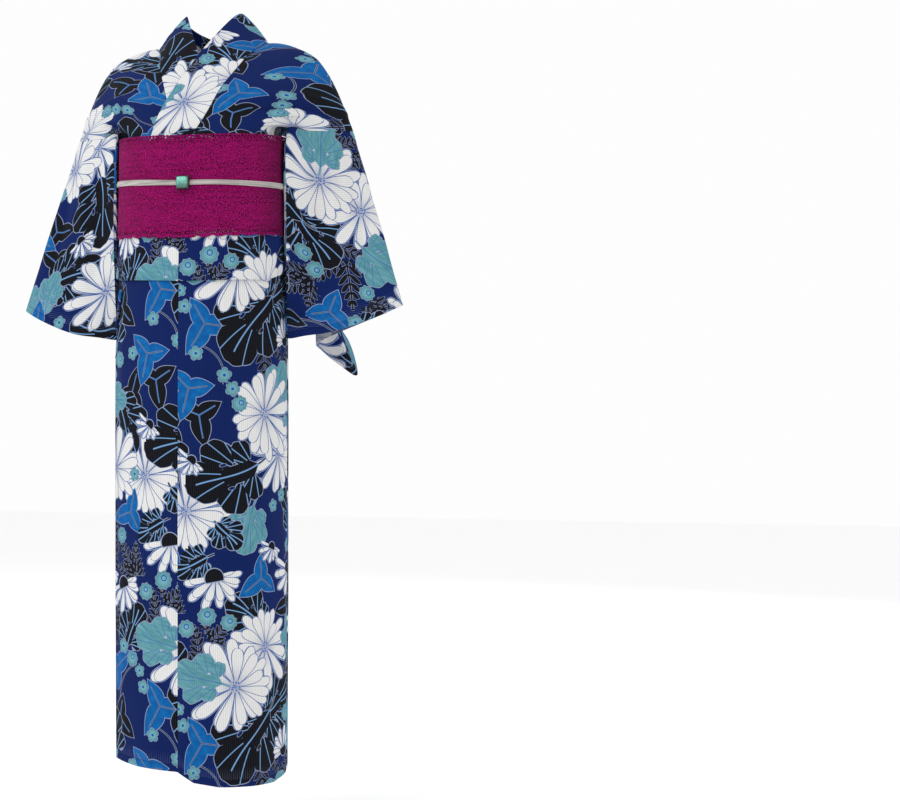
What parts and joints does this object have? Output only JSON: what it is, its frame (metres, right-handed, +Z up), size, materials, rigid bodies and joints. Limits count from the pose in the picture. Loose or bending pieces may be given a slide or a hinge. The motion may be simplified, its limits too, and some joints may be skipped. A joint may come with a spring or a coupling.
{
  "type": "cotton yukata robe",
  "caption": "Printed cotton summer robe in its worn, hollow form, wrapped left over right, with a waist tuck, lace belt, flat bow and cord with a square bead.",
  "frame": {"origin": "midway between the shoulders, at the height of the shoulder seams, where a wearer or a hanger carries the robe", "axes": "+Z up along the body, the wearer faces -Y, and the wearer's left is +X"},
  "size_m": [0.6656, 0.3507, 1.288],
  "materials": {
    "cotton": "printed cotton, matt",
    "lace": "magenta lace, matt",
    "satin": "silver-grey satin cord",
    "dark_steel": "darkened",
    "teal_glass": "polished, nearly opaque"
  },
  "bodies": {
    "root": {"okumi_right": "cotton", "skirt_front_right": "cotton", "skirt_back_right": "cotton", "skirt_back_left": "cotton", "skirt_front_left": "cotton", "okumi_left": "cotton", "tuck_front_left": "cotton", "tuck_back_left": "cotton", "tuck_right": "cotton", "collar": "cotton", "bodice_left": "cotton", "bodice_right": "cotton", "sleeve_left": "cotton", "sleeve_right": "cotton", "collar_end": "cotton", "belt_wrap": "lace", "belt_cord": "satin", "bow_wing_left": "lace", "bow_wing_right": "lace", "bow_flap_left": "lace", "bow_flap_right": "lace", "bow_knot": "lace", "bead_tray": "dark_steel", "bead_glass": "teal_glass"}
  },
  "joints": []
}
